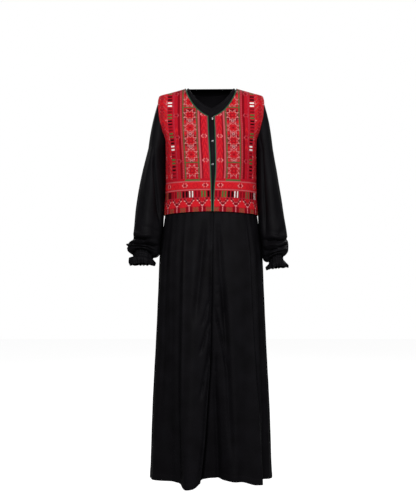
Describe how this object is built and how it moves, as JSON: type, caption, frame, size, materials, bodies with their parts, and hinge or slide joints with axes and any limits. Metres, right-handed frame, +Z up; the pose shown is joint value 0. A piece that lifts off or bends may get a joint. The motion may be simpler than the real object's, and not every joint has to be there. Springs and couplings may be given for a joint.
{
  "type": "abaya",
  "caption": "Floor-length black abaya with long sleeves gathered at the wrist and a short red cross-stitched waistcoat front, shaped as worn, hollow and open at neck, cuffs and hem.",
  "frame": {"origin": "middle of the line between the two neck points, where the shoulders carry the garment", "axes": "+Z up, the wearer faces -Y, the wearer's left is +X"},
  "size_m": [0.5739, 0.378, 1.4017],
  "materials": {
    "black_crepe": "matt black crepe, softly draped",
    "red_embroidery": "dense cross-stitch in red cotton thread",
    "green_binding": "green satin binding",
    "snap_metal": "polished nickel plate"
  },
  "bodies": {
    "root": {"bodice_back": "black_crepe", "bodice_front_left": "black_crepe", "bodice_front_right": "black_crepe", "neck_binding_back": "black_crepe", "neck_binding_left": "black_crepe", "neck_binding_right": "black_crepe", "skirt_back": "black_crepe", "skirt_front_left": "black_crepe", "skirt_front_right": "black_crepe", "sleeve_left": "black_crepe", "sleeve_right": "black_crepe", "cuff_left": "black_crepe", "cuff_right": "black_crepe", "cuff_frill_left": "black_crepe", "cuff_frill_right": "black_crepe", "vest_back": "red_embroidery", "vest_front_left": "red_embroidery", "vest_front_right": "red_embroidery", "vest_binding_back": "green_binding", "vest_binding_left": "green_binding", "vest_binding_right": "green_binding", "snap_1": "snap_metal", "snap_2": "snap_metal", "snap_3": "snap_metal"}
  },
  "joints": []
}
